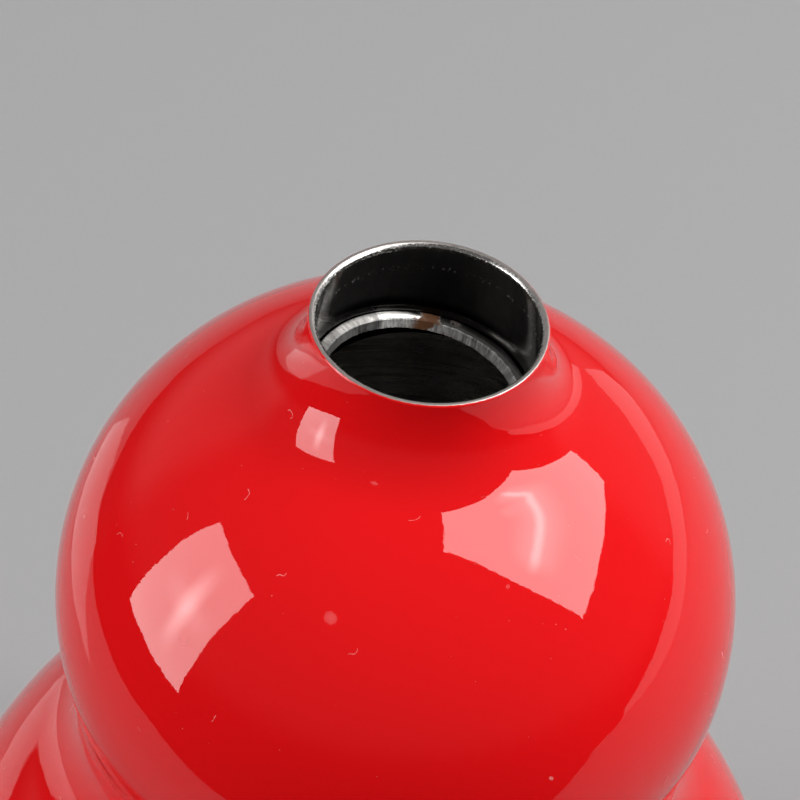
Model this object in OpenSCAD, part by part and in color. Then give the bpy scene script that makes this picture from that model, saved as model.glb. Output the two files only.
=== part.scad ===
/* [Lobes] */
// Radius of the upper lobe at its widest level
upper_lobe_r = 42.5; // [34:0.5:56]
// Height of the upper lobe above its widest level
upper_lobe_rise = 39.5; // [32:0.5:52]
// Radius of the lower lobe at its widest level
lower_lobe_r = 59; // [48:0.5:76]
// Height of the lower lobe above its widest level
lower_lobe_rise = 55.4; // [46:0.1:68]
// Height between the widest levels of the two lobes
lobe_spacing = 73.1; // [60:0.1:92]
// Angle below the upper lobe's widest level at which the waist begins
waist_upper_angle = 19.5; // [10:0.5:35]
// Angle above the lower lobe's widest level at which the waist begins
waist_lower_angle = 40.9; // [30:0.1:55]
// Sheet thickness of the outer shell
shell_wall = 0.45; // [0.3:0.05:1]

/* [Neck] */
// Radius of the mouth bore
mouth_r = 13.35; // [10:0.05:18]
// Height of the rim above the top of the upper lobe
neck_h = 7.5; // [5:0.1:16]
// Length of the straight part of the neck under the rim
neck_straight = 0.5; // [0.4:0.1:4]
// Radius on the lobe at which the neck's blend begins
neck_foot_r = 20.4; // [18.4:0.5:27.4]
// Sheet thickness of the mouth tube
tube_wall = 0.4; // [0.3:0.05:1]
// Height of the weld that joins shell and tube at the rim
rim_weld_h = 0.35; // [0.2:0.05:0.8]
// Bevel along the rim's edges
rim_bevel = 0.12; // [0.05:0.01:0.2]

/* [Seat ring] */
// Depth of the seat ring's upper edge below the rim
seat_depth = 10.5; // [7:0.1:11]
// Height of the ring from its upper edge to its inner edge
seat_drop = 1.5; // [1.5:0.1:3]
// Depth of the pocket in the mouth tube that takes the ring
seat_pocket = 0.3; // [0.2:0.05:0.5]
// Width of the ring's ledge between the bore and its inner edge
seat_width = 1.55; // [0.8:0.05:2.5]
// Sheet thickness of the ring
seat_wall = 0.5; // [0.3:0.05:0.8]
// Lean of the ring about X, as it is welded in
seat_lean_x = -2.4; // [-4:0.1:4]
// Lean of the ring about Y, as it is welded in
seat_lean_y = 6.3; // [-7:0.1:7]

/* [Liner] */
// Sheet thickness of the liner
liner_wall = 0.4; // [0.3:0.05:1]
// Least width of the vacuum between liner and shell
vacuum_gap = 3.5; // [2:0.5:6]
// Room left around the liner as it passes through the base opening
passing_room = 1; // [0.5:0.5:3]
// Distance by which the liner's shoulder starts below its tightest place
shoulder_drop = 6; // [3:0.5:10]
// Height between the shoulder's opening and the shell over it
shoulder_clearance = 4.5; // [4:0.5:7]
// Height of the collar that takes the mouth tube
collar_h = 3.5; // [2:0.5:3.5]
// Height of the liner's base cup
cup_h = 16; // [12:0.5:24]
// Corner radius of the base cup
cup_corner_r = 9; // [5:0.5:11]

/* [Base] */
// Radius of the foot
base_r = 36; // [32:0.5:44]
// Height of the straight foot under the lower lobe
foot_h = 2.2; // [1.5:0.1:4]
// Height by which the pad stands proud of the foot
pad_proud = 0.8; // [0.5:0.1:2]
// Height of the base dish's flange
dish_depth = 3.2; // [3:0.1:6]
// Sheet thickness of the base dish
dish_wall = 0.6; // [0.4:0.05:1]
// Height of the space between the base dish and the liner
base_gap = 8; // [7:0.5:12]
// Thickness of the base cover
cover_wall = 0.5; // [0.4:0.1:1]
// Height from the foot's edge to the base cover
cover_recess = 1; // [0.6:0.1:1]
// Inner radius of the pad
pad_inner_r = 22; // [12:0.5:28]
// Width left bare between the pad and the edge of the base cover
pad_margin = 1.6; // [0.5:0.1:4]

/* [Vacuum fittings] */
// Radius of the evacuation hole
hole_r = 1.2; // [0.8:0.1:2]
// Radius of the dimple around the evacuation hole
dimple_r = 4; // [3:0.1:6]
// Depth of the dimple
dimple_depth = 1; // [0.6:0.1:1.5]
// Thickness of the sealing bead in the dimple
bead_h = 0.9; // [0.5:0.1:1]
// Radius of the getter pill
getter_r = 4; // [2.5:0.1:6]
// Height of the getter pill
getter_h = 3; // [2:0.1:5]
// Distance of the getter pill from the axis
getter_offset = 22; // [18:0.5:26]
// Width of the clip's strap
clip_w = 3; // [2:0.1:4]
// Thickness of the clip's strap
clip_wall = 0.3; // [0.2:0.05:0.6]
// Length of each foot of the clip
clip_foot = 3; // [2:0.1:5]
// Radius of the liner support where it touches the liner
support_top_r = 7; // [5:0.5:9]
// Radius of the liner support where it stands on the dish
support_foot_r = 11; // [10:0.5:14]
// Width of the support's flat edges
support_lip = 1.5; // [1:0.1:3]
// Sheet thickness of the liner support
support_wall = 0.5; // [0.3:0.1:0.8]

/* [Foil and joints] */
// Thickness of the copper foil
foil_wall = 0.2; // [0.1:0.05:0.3]
// Radius of the hole in the foil under the liner
foil_hole_r = 10; // [9.5:0.5:16]
// Thickness of the backing band behind the waist weld
band_wall = 0.6; // [0.3:0.1:1]
// Clearance between pieces that slide into each other
slide_fit = 0.04; // [0.02:0.01:0.1]
// Clearance between the seat ring and the bore
seat_fit = 0.2; // [0.18:0.01:0.3]

/* [Hidden] */

$fn = 128;
lobe_steps = 20;
blend_steps = 24;
corner_steps = 8;
// Steps of the waist blend that the backing band covers on each side of the weld
band_steps = 3;

// Heights, from the surface that the pad stands on
foot_z = pad_proud;
lobe_cut_z = foot_z + foot_h;
base_angle = -acos(base_r / lower_lobe_r);
lower_lobe_z = lobe_cut_z - lower_lobe_rise * sin(base_angle);
upper_lobe_z = lower_lobe_z + lobe_spacing;
rim_z = upper_lobe_z + upper_lobe_rise + neck_h;
neck_top_z = rim_z - rim_weld_h;
dish_z = foot_z + dish_depth;
liner_floor_z = dish_z + base_gap;
cover_z = foot_z + cover_recess;
seat_z = rim_z - seat_depth;

// Radii around the mouth
tube_r = mouth_r + tube_wall;
neck_r = tube_r + slide_fit + shell_wall;
neck_foot_angle = acos(neck_foot_r / upper_lobe_r);
pocket_r = mouth_r + seat_pocket;
collar_r = pocket_r + tube_wall + slide_fit;
seat_outer_r = pocket_r - seat_fit;
seat_inner_r = mouth_r - seat_width;
seat_lean = acos(cos(seat_lean_x) * cos(seat_lean_y));
pocket_z = seat_z + seat_outer_r * sin(seat_lean) + slide_fit;
seat_foot_z = seat_z - seat_drop - 2 * seat_wall - seat_inner_r * sin(seat_lean);

// A point on a lobe's outer face, drawn in by inset; the angle is taken at the centre
function upper_lobe(a, inset) = [
    (upper_lobe_r - inset) * cos(a),
    upper_lobe_z + (upper_lobe_rise - inset) * sin(a)
];
function lower_lobe(a, inset) = [
    (lower_lobe_r - inset) * cos(a),
    lower_lobe_z + (lower_lobe_rise - inset) * sin(a)
];

// The upward direction along an ellipse with the half widths r and rise
function climb(r, rise, a) = unit([-r * sin(a), rise * cos(a)]);
function unit(v) = v / norm(v);

// A near-circular curve from p to q that leaves along u and arrives along v
function blend_point(p, u, q, v, t) =
    let (turn = acos(u * v))
    let (reach = norm(q - p) * 2 / 3 * tan(turn / 4) / sin(turn / 2))
    let (s = 1 - t)
    s * s * s * p + 3 * s * s * t * (p + reach * u)
        + 3 * s * t * t * (q - reach * v) + t * t * t * q;

// The waist blend at a step from 0 on the lower lobe to blend_steps on the upper lobe
function waist(step, inset) = blend_point(
    lower_lobe(waist_lower_angle, inset),
    climb(lower_lobe_r - inset, lower_lobe_rise - inset, waist_lower_angle),
    upper_lobe(-waist_upper_angle, inset),
    climb(upper_lobe_r - inset, upper_lobe_rise - inset, -waist_upper_angle),
    step / blend_steps
);

// The neck blend at a step from 0 on the upper lobe to blend_steps on the straight neck
function neck(step, inset) = blend_point(
    upper_lobe(neck_foot_angle, inset),
    climb(upper_lobe_r - inset, upper_lobe_rise - inset, neck_foot_angle),
    [neck_r - inset, rim_z - neck_straight],
    [0, 1],
    step / blend_steps
);

// The same outline run back the other way
function reversed(points) = [for (i = [len(points) - 1 : -1 : 0]) points[i]];

weld_step = blend_steps / 2;

function upper_outline(inset) = concat(
    [for (i = [weld_step : blend_steps]) waist(i, inset)],
    [for (i = [1 : lobe_steps - 1])
        upper_lobe(-waist_upper_angle
            + (neck_foot_angle + waist_upper_angle) * i / lobe_steps, inset)],
    [for (i = [0 : blend_steps]) neck(i, inset)],
    [[neck_r - inset, neck_top_z]]
);

function lower_outline(inset) = concat(
    [[base_r - inset, foot_z]],
    [[base_r - inset, lobe_cut_z]],
    [for (i = [1 : lobe_steps - 1])
        lower_lobe(base_angle + (waist_lower_angle - base_angle) * i / lobe_steps, inset)],
    [for (i = [0 : weld_step]) waist(i, inset)]
);

function band_outline(inset) =
    [for (i = [weld_step - band_steps : weld_step + band_steps]) waist(i, inset)];

// The liner is a straight tube that passes both the waist and the base opening
waist_r = min([for (i = [0 : blend_steps]) waist(i, 0)[0]]);
liner_r = min(
    waist_r - shell_wall - band_wall - vacuum_gap,
    base_r - shell_wall - passing_room
);
tight_angle = acos((liner_r + vacuum_gap) / (upper_lobe_r - shell_wall));
shoulder_z = upper_lobe(tight_angle, shell_wall)[1] - shoulder_drop;
opening_angle = acos(collar_r / (upper_lobe_r - shell_wall));
shoulder_top_z = upper_lobe(opening_angle, shell_wall)[1] - shoulder_clearance;
tube_foot_z = min(shoulder_top_z, seat_foot_z);
shoulder_rise = (shoulder_top_z - shoulder_z) / sin(acos(collar_r / liner_r));

// The shoulder's outline from the liner tube to its opening, drawn in by inset
function shoulder_outline(inset) =
    let (r = liner_r - inset)
    let (last = acos(collar_r / r))
    [for (i = [0 : lobe_steps])
        [r * cos(last * i / lobe_steps),
         shoulder_z + (shoulder_rise - inset) * sin(last * i / lobe_steps)]];

// The base cup's outline from the axis to the liner tube, drawn in by inset
function cup_outline(inset) =
    let (corner = [liner_r - cup_corner_r, liner_floor_z + cup_corner_r])
    concat(
        [[0, liner_floor_z + inset]],
        [for (i = [0 : corner_steps])
            corner + (cup_corner_r - inset)
                * [sin(90 * i / corner_steps), -cos(90 * i / corner_steps)]],
        [[liner_r - inset, liner_floor_z + cup_h]]
    );

module turned(points) {
    rotate_extrude() polygon(points);
}

module ring(inner, outer, z, height) {
    translate([0, 0, z])
    rotate_extrude()
    translate([inner, 0])
    square([outer - inner, height]);
}

// Neck and upper lobe, drawn from sheet and lacquered
module outer_upper_shell() {
    color([0.82, 0.03, 0.05])
    turned(concat(upper_outline(0), reversed(upper_outline(shell_wall))));
}

// Lower lobe and foot, drawn from sheet and lacquered
module outer_lower_shell() {
    color([0.82, 0.03, 0.05])
    turned(concat(lower_outline(0), reversed(lower_outline(shell_wall))));
}

// Strip inside the waist that backs the weld between the shells
module waist_backing_band() {
    color([0.6, 0.6, 0.62])
    turned(concat(band_outline(shell_wall), reversed(band_outline(shell_wall + band_wall))));
}

// Ground weld along the rim
module rim_weld() {
    color([0.72, 0.7, 0.68])
    turned([
        [mouth_r, neck_top_z],
        [neck_r, neck_top_z],
        [neck_r, rim_z - rim_bevel],
        [neck_r - rim_bevel, rim_z],
        [mouth_r + rim_bevel, rim_z],
        [mouth_r, rim_z - rim_bevel]
    ]);
}

// Tube of the mouth, which joins shell and liner, with the seat ring's pocket below its bore
module mouth_tube() {
    color([0.3, 0.3, 0.31])
    turned([
        [mouth_r, neck_top_z],
        [mouth_r, pocket_z],
        [pocket_r, pocket_z],
        [pocket_r, tube_foot_z],
        [pocket_r + tube_wall, tube_foot_z],
        [pocket_r + tube_wall, pocket_z],
        [tube_r, pocket_z + seat_pocket],
        [tube_r, neck_top_z]
    ]);
}

// Pressed ledge that the stopper's seal closes on
module seat_ring() {
    crest = seat_wall / 2;
    color([0.75, 0.74, 0.72])
    translate([0, 0, seat_z])
    rotate([seat_lean_x, seat_lean_y, 0])
    turned([
        [seat_outer_r, -crest],
        [seat_outer_r - crest, 0],
        [seat_outer_r - 2 * crest, -crest],
        [seat_inner_r, -seat_drop],
        [seat_inner_r, -seat_drop - seat_wall],
        [seat_outer_r, -2 * seat_wall]
    ]);
}

// Dome that closes the liner down to the mouth, with its collar
module liner_shoulder() {
    color([0.66, 0.66, 0.68])
    turned(concat(
        shoulder_outline(0),
        [[collar_r + liner_wall, shoulder_top_z + liner_wall]],
        [[collar_r + liner_wall, shoulder_top_z + collar_h]],
        [[collar_r, shoulder_top_z + collar_h]],
        reversed(shoulder_outline(liner_wall))
    ));
}

// Straight wall of the liner
module liner_tube() {
    cup_top_z = liner_floor_z + cup_h;
    color([0.66, 0.66, 0.68])
    ring(liner_r - liner_wall, liner_r, cup_top_z, shoulder_z - cup_top_z);
}

// Closed bottom of the liner
module liner_base_cup() {
    color([0.66, 0.66, 0.68])
    turned(concat(cup_outline(0), reversed(cup_outline(liner_wall))));
}

// Copper foil wrapped round the liner tube
module foil_sleeve() {
    cup_top_z = liner_floor_z + cup_h;
    inner = liner_r + slide_fit;
    color([0.8, 0.5, 0.32])
    ring(inner, inner + foil_wall, cup_top_z, shoulder_z - cup_top_z);
}

// Copper foil under the liner's flat bottom
module foil_disc() {
    color([0.8, 0.5, 0.32])
    ring(foil_hole_r, liner_r - cup_corner_r, liner_floor_z - foil_wall, foil_wall);
}

// Pressed spacer that keeps the liner off the base dish
module liner_support() {
    color([0.6, 0.6, 0.62])
    turned([
        [support_foot_r - support_lip, dish_z],
        [support_foot_r, dish_z],
        [support_foot_r, dish_z + support_wall],
        [support_top_r + support_wall, liner_floor_z - support_wall],
        [support_top_r + support_wall, liner_floor_z],
        [support_top_r - support_lip, liner_floor_z],
        [support_top_r - support_lip, liner_floor_z - support_wall],
        [support_top_r, liner_floor_z - support_wall],
        [support_foot_r - support_lip, dish_z + support_wall]
    ]);
}

// Pill that takes up stray gas in the vacuum
module getter_pill() {
    color([0.35, 0.34, 0.33])
    translate([getter_offset, 0, dish_z])
    cylinder(r = getter_r, h = getter_h);
}

// Strap that holds the pill on the dish
module getter_clip() {
    span = 2 * (getter_r + slide_fit);
    outer_span = span + 2 * clip_wall;
    clip_h = getter_h + slide_fit + clip_wall;
    color([0.6, 0.6, 0.62])
    translate([getter_offset, 0, dish_z])
    difference() {
        union() {
            translate([-clip_w / 2, -outer_span / 2 - clip_foot, 0])
            cube([clip_w, outer_span + 2 * clip_foot, clip_wall]);
            translate([-clip_w / 2, -outer_span / 2, 0])
            cube([clip_w, outer_span, clip_h]);
        }
        translate([-clip_w, -span / 2, -clip_wall])
        cube([2 * clip_w, span, clip_h]);
    }
}

// Recessed bottom of the outer shell, with the evacuation hole in its dimple
module base_dish() {
    flange_r = base_r - shell_wall - slide_fit;
    under_z = dish_z - dish_wall;
    color([0.62, 0.62, 0.64])
    turned([
        [hole_r, under_z + dimple_depth],
        [dimple_r, under_z + dimple_depth],
        [dimple_r + dimple_depth, under_z],
        [flange_r - 2 * dish_wall, under_z],
        [flange_r - dish_wall, under_z - dish_wall],
        [flange_r - dish_wall, foot_z],
        [flange_r, foot_z],
        [flange_r, dish_z - dish_wall],
        [flange_r - dish_wall, dish_z],
        [dimple_r + dimple_depth, dish_z],
        [dimple_r, dish_z + dimple_depth],
        [hole_r, dish_z + dimple_depth]
    ]);
}

// Fused bead that closes the evacuation hole
module vacuum_seal() {
    ceiling_z = dish_z - dish_wall + dimple_depth;
    color([0.25, 0.3, 0.28])
    turned([
        [0, ceiling_z - bead_h],
        [dimple_r / 2, ceiling_z - bead_h],
        [dimple_r - bead_h / 2, ceiling_z - bead_h / 2],
        [dimple_r - bead_h / 4, ceiling_z],
        [hole_r, ceiling_z],
        [hole_r, ceiling_z + dish_wall / 2],
        [0, ceiling_z + dish_wall / 2]
    ]);
}

// Disc that hides the dish
module base_cover() {
    color([0.68, 0.68, 0.7])
    translate([0, 0, cover_z])
    cylinder(r = base_r - shell_wall - dish_wall - 2 * slide_fit, h = cover_wall);
}

// Soft ring that the object stands on
module base_pad() {
    outer = base_r - shell_wall - dish_wall - pad_margin;
    edge = pad_proud / 2;
    color([0.12, 0.12, 0.12])
    turned([
        [pad_inner_r + edge, 0],
        [outer - edge, 0],
        [outer, edge],
        [outer, cover_z],
        [pad_inner_r, cover_z],
        [pad_inner_r, edge]
    ]);
}

outer_upper_shell();
outer_lower_shell();
waist_backing_band();
rim_weld();
mouth_tube();
seat_ring();
liner_shoulder();
liner_tube();
liner_base_cup();
foil_sleeve();
foil_disc();
liner_support();
getter_pill();
getter_clip();
base_dish();
vacuum_seal();
base_cover();
base_pad();
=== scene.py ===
"""Builds the looks of the gourd-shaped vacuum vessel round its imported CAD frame."""
from math import acos, cos, pi, radians, sin, tan

import bpy
from bpy.props import FloatProperty, FloatVectorProperty, IntProperty, PointerProperty
from mathutils import Euler, Matrix, Vector, noise


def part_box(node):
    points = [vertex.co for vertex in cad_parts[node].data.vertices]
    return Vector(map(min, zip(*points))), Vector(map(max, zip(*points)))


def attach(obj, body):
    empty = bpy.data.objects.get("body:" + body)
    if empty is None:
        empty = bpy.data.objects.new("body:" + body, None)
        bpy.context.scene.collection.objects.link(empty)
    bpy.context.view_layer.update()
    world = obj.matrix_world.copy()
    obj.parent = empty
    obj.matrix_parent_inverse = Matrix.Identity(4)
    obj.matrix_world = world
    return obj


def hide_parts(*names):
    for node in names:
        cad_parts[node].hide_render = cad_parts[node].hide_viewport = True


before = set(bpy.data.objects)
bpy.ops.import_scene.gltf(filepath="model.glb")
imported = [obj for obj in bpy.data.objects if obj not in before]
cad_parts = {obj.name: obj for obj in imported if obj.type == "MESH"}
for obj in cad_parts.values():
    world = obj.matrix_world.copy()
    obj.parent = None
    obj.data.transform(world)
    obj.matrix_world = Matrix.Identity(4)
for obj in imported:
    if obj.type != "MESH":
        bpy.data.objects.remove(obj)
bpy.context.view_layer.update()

bl_info = {
    "name": "Gourd Vacuum Vessel",
    "version": (1, 0, 0),
    "blender": (4, 5, 0),
    "location": "3D View > Sidebar > Vessel",
    "description": "Turned, lacquered and ground pieces of a double-wall vessel",
    "category": "Object",
}

BODY = "root"
MM = 0.001
UPPER_SHELL = "outer_upper_shell"
LOWER_SHELL = "outer_lower_shell"


# ---------------- sizes from the frame

def half_width(node):
    low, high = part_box(node)
    return (high.x - low.x) / 2


def top_of(node):
    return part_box(node)[1].z


def foot_of(node):
    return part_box(node)[0].z


def length(label, note, value):
    return FloatProperty(name=label, description=note, default=value, unit="LENGTH", precision=5)


def angle(label, note, degrees):
    return FloatProperty(
        name=label, description=note, default=radians(degrees), unit="ROTATION"
    )


def factor(label, note, value):
    return FloatProperty(name=label, description=note, default=value, min=0, soft_max=1)


def colour(label, note, value):
    return FloatVectorProperty(
        name=label, description=note, default=value, subtype="COLOR", min=0, max=1
    )


def power(label, note, value):
    return FloatProperty(name=label, description="Brightness of the " + note, default=value, min=0)


class VesselSizes(bpy.types.PropertyGroup):
    upper_r: length("Upper lobe radius", "Widest radius of the upper lobe", half_width(UPPER_SHELL))
    upper_rise: length("Upper lobe rise", "Height of the upper lobe above its widest level", 39.5 * MM)
    lower_r: length("Lower lobe radius", "Widest radius of the lower lobe", half_width(LOWER_SHELL))
    lower_rise: length("Lower lobe rise", "Height of the lower lobe above its widest level", 55.4 * MM)
    lobe_spacing: length("Lobe spacing", "Height between the widest levels of the lobes", 73.1 * MM)
    neck_h: length("Neck height", "Height of the rim above the top of the upper lobe", 7.5 * MM)
    neck_r: length("Neck radius", "Outer radius of the neck", half_width("rim_weld"))
    neck_foot_r: length("Neck foot", "Radius on the lobe where the neck's blend begins", 20.4 * MM)
    neck_straight: length("Neck straight", "Length of the straight part under the rim", 0.5 * MM)
    waist_upper: angle("Waist above", "Angle below the upper lobe's widest level at the waist's end", 19.5)
    waist_lower: angle("Waist below", "Angle above the lower lobe's widest level at the waist's end", 40.9)
    shell_wall: length("Shell sheet", "Sheet thickness of the outer shell", 0.45 * MM)
    foot_r: length("Foot radius", "Radius of the foot", 36 * MM)
    foot_h: length("Foot height", "Height of the straight foot", 2.2 * MM)
    mouth_r: length("Mouth radius", "Radius of the mouth bore", 13.35 * MM)
    rim_weld_h: length("Rim weld height", "Height of the ground weld", 0.35 * MM)
    tube_wall: length("Tube sheet", "Sheet thickness of the mouth tube", 0.4 * MM)
    seat_pocket: length("Seat pocket", "Depth of the pocket that takes the seat ring", 0.3 * MM)
    seat_depth: length("Seat depth", "Depth of the seat ring below the rim", 10.5 * MM)
    seat_width: length("Seat width", "Width of the seat ring's ledge", 1.55 * MM)
    seat_lean: FloatVectorProperty(
        name="Seat lean", description="Lean of the seat ring about X and Y", size=2,
        default=(radians(-2.4), radians(6.3)), unit="ROTATION",
    )
    seat_fit: length("Seat fit", "Clearance of the seat ring in its pocket", 0.2 * MM)
    slide_fit: length("Slide fit", "Clearance between pieces that slide together", 0.04 * MM)
    liner_wall: length("Liner sheet", "Sheet thickness of the liner", 0.4 * MM)
    collar_h: length("Collar height", "Height of the liner's collar round the mouth tube", 3.5 * MM)
    cup_corner_r: length("Cup corner", "Corner radius of the liner's base cup", 9 * MM)
    pad_inner_r: length("Pad opening", "Inner radius of the base pad", 22 * MM)
    segments: IntProperty(name="Segments", description="Faces round the axis", default=256, min=48)


class VesselFinishes(bpy.types.PropertyGroup):
    lacquer: colour("Lacquer", "Colour of the lacquer", (0.625, 0.0045, 0.006))
    lacquer_gloss: factor("Lacquer roughness", "Roughness of the clean lacquer", 0.02)
    ground: colour("Ground weld", "Colour of the ground rim", (0.62, 0.56, 0.53))
    mirror: colour("Polished steel", "Colour of the polished wall", (0.42, 0.405, 0.39))
    pressed: colour("Pressed steel", "Colour of the seat ring", (0.68, 0.66, 0.63))
    rust: colour("Rust", "Colour of the heat and rust marks", (0.21, 0.085, 0.035))
    plain: colour("Plain steel", "Colour of the hidden and underside sheet", (0.56, 0.56, 0.57))
    copper: colour("Copper foil", "Colour of the foil", (0.8, 0.42, 0.22))
    pad: colour("Base pad", "Colour of the soft pad", (0.02, 0.02, 0.021))


class StudioSettings(bpy.types.PropertyGroup):
    view_height: angle("View height", "Angle of the camera above the vessel's level", 46.87)
    view_roll: angle("View roll", "Roll of the camera", 7.05)
    view_distance: length("View distance", "Distance of the camera from the upper lobe's centre", 0.4772)
    view_angle: angle("View angle", "Angle that the view takes in", 12.0)
    aim_low: angle("Aim", "Angle by which the upper lobe sits below the view's centre", 2.929)
    aim_side: angle("Side aim", "Angle by which the upper lobe sits left of the view's centre", 0.065)
    floor: colour("Floor", "Colour of the floor", (0.292, 0.292, 0.295))
    left_power: power("Left light", "left light", 7.4)
    right_power: power("Right light", "right light", 8.3)
    room: power("Room", "room above the floor", 0.12)
    back_room: power("Back room", "room behind, on top of the room's own", 0.2)
    strip_power: power("Strip", "strip at the right", 0.95)
    lamp_power: power("Lamps", "small round lamps", 2.0)


# ---------------- outlines

def lobe_point(r, rise, z, inset, a):
    return Vector(((r - inset) * cos(a), z + (rise - inset) * sin(a)))


def climb(r, rise, a):
    """Upward direction along an ellipse."""
    return Vector((-r * sin(a), rise * cos(a))).normalized()


def blend_curve(p, u, q, v, steps):
    """Near-circular curve from p, leaving along u, to q, arriving along v."""
    turn = acos(max(-1.0, min(1.0, u.dot(v))))
    reach = (q - p).length * 2 / 3 * tan(turn / 4) / sin(turn / 2)
    points = []
    for i in range(steps + 1):
        t = i / steps
        s = 1 - t
        points.append(
            s**3 * p + 3 * s * s * t * (p + reach * u) + 3 * s * t * t * (q - reach * v) + t**3 * q
        )
    return points


def arc(centre, r, start, end, steps):
    """Points round a centre from one angle to another, in degrees."""
    turns = [radians(start + (end - start) * i / steps) for i in range(steps + 1)]
    return [Vector((centre[0] + r * cos(a), centre[1] + r * sin(a))) for a in turns]


class ShellOutline:
    """The outer shell's outline at a given inset, with the weld at the middle of the waist."""

    def __init__(self, s):
        self.s = s
        self.foot_z = foot_of(LOWER_SHELL)
        self.cut_angle = -acos(s.foot_r / s.lower_r)
        self.lower_z = self.foot_z + s.foot_h - s.lower_rise * sin(self.cut_angle)
        self.upper_z = self.lower_z + s.lobe_spacing
        self.rim_z = self.upper_z + s.upper_rise + s.neck_h

    def upper(self, a, inset):
        return lobe_point(self.s.upper_r, self.s.upper_rise, self.upper_z, inset, a)

    def lower(self, a, inset):
        return lobe_point(self.s.lower_r, self.s.lower_rise, self.lower_z, inset, a)

    def waist(self, inset, steps=48):
        s = self.s
        return blend_curve(
            self.lower(s.waist_lower, inset),
            climb(s.lower_r - inset, s.lower_rise - inset, s.waist_lower),
            self.upper(-s.waist_upper, inset),
            climb(s.upper_r - inset, s.upper_rise - inset, -s.waist_upper),
            steps,
        )

    def upper_part(self, inset, top_z, steps=96):
        s = self.s
        foot = acos(s.neck_foot_r / s.upper_r)
        waist = self.waist(inset)
        lobe = [
            self.upper(-s.waist_upper + (foot + s.waist_upper) * i / steps, inset)
            for i in range(1, steps)
        ]
        neck = blend_curve(
            self.upper(foot, inset),
            climb(s.upper_r - inset, s.upper_rise - inset, foot),
            Vector((s.neck_r - inset, self.rim_z - s.neck_straight)),
            Vector((0, 1)),
            40,
        )
        return waist[len(waist) // 2:] + lobe + neck + [(s.neck_r - inset, top_z)]

    def lower_part(self, inset, steps=96):
        s = self.s
        waist = self.waist(inset)
        lobe = [
            self.lower(self.cut_angle + (s.waist_lower - self.cut_angle) * i / steps, inset)
            for i in range(1, steps)
        ]
        foot = [(s.foot_r - inset, self.foot_z), (s.foot_r - inset, self.foot_z + s.foot_h)]
        return foot + lobe + waist[: len(waist) // 2 + 1]


def seat_plane(s):
    """Matrix of the leaning seat ring, whose own height 0 is the seat's depth."""
    lean = Euler((s.seat_lean[0], s.seat_lean[1], 0)).to_matrix().to_4x4()
    return Matrix.Translation((0, 0, top_of("rim_weld") - s.seat_depth)) @ lean


# ---------------- meshes

def turned(name, loop, segments, closed=True, shape=None, sharp=35):
    """Turns an outline of (radius, height) points about the axis into a mesh object."""
    verts, faces, rings = [], [], []
    for k, (r, z) in enumerate(loop):
        if r < 1e-7:
            rings.append([len(verts)])
            verts.append((0, 0, z))
            continue
        rings.append(list(range(len(verts), len(verts) + segments)))
        for j in range(segments):
            a = 2 * pi * j / segments
            rr, zz = shape(k, a, r, z) if shape else (r, z)
            verts.append((rr * cos(a), rr * sin(a), zz))
    pairs = list(zip(rings, rings[1:]))
    if closed:
        pairs.append((rings[-1], rings[0]))
    for lower, upper in pairs:
        if len(lower) == 1 and len(upper) == 1:
            continue
        for j in range(segments):
            n = (j + 1) % segments
            if len(lower) == 1:
                faces.append((lower[0], upper[n], upper[j]))
            elif len(upper) == 1:
                faces.append((lower[j], lower[n], upper[0]))
            else:
                faces.append((lower[j], lower[n], upper[n], upper[j]))
    mesh = bpy.data.meshes.new(name)
    mesh.from_pydata(verts, [], faces)
    mesh.validate()
    mesh.update()
    mesh.shade_smooth()
    mesh.set_sharp_from_angle(angle=radians(sharp))
    obj = bpy.data.objects.new(name, mesh)
    bpy.context.scene.collection.objects.link(obj)
    return obj


def fit_out(obj, slot, node, finish=None):
    """Gives a new piece its finish, named as its slot is unless told, and its place under the body."""
    obj.data.materials.append(finish_of(finish or slot))
    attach(obj, BODY)
    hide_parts(node)


# ---------------- shader node helpers

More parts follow.
